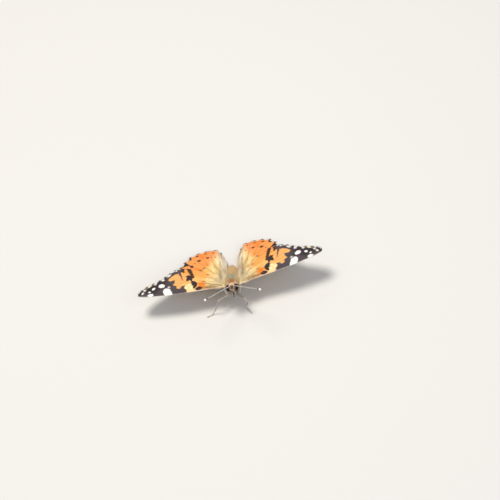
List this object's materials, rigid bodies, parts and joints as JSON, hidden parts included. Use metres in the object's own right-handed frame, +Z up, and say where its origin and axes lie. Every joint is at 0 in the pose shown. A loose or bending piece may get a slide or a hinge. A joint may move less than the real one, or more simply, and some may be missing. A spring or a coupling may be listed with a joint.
{
  "type": "painted lady butterfly, wings held flat",
  "caption": "Life-size painted lady butterfly standing with its wings held flat, feelers forward and tail low, as a still museum model.",
  "frame": {"origin": "middle of the bounding box on the floor the feet stand on", "axes": "+Z up from the floor; the head points along -Y and the butterfly's own left is +X; wings spread along X"},
  "size_m": [0.0666, 0.039, 0.0192],
  "materials": {
    "wing_scales": "orange, black and white wing scales in a soft sheen",
    "body_fur": "short tan and olive fur",
    "eye": "dark faceted eye",
    "antenna": "dark grey-brown horn",
    "leg_scales": "grey-brown leg scales"
  },
  "bodies": {
    "root": {"abdomen": "body_fur", "antenna_left": "antenna", "antenna_right": "antenna", "eye_left": "eye", "eye_right": "eye", "foreleg_left": "leg_scales", "foreleg_right": "leg_scales", "forewing_left": "wing_scales", "forewing_right": "wing_scales", "head": "body_fur", "hindleg_left": "leg_scales", "hindleg_right": "leg_scales", "hindwing_left": "wing_scales", "hindwing_right": "wing_scales", "midleg_left": "leg_scales", "midleg_right": "leg_scales", "palp_left": "body_fur", "palp_right": "body_fur", "proboscis": "antenna", "thorax": "body_fur"}
  },
  "joints": []
}
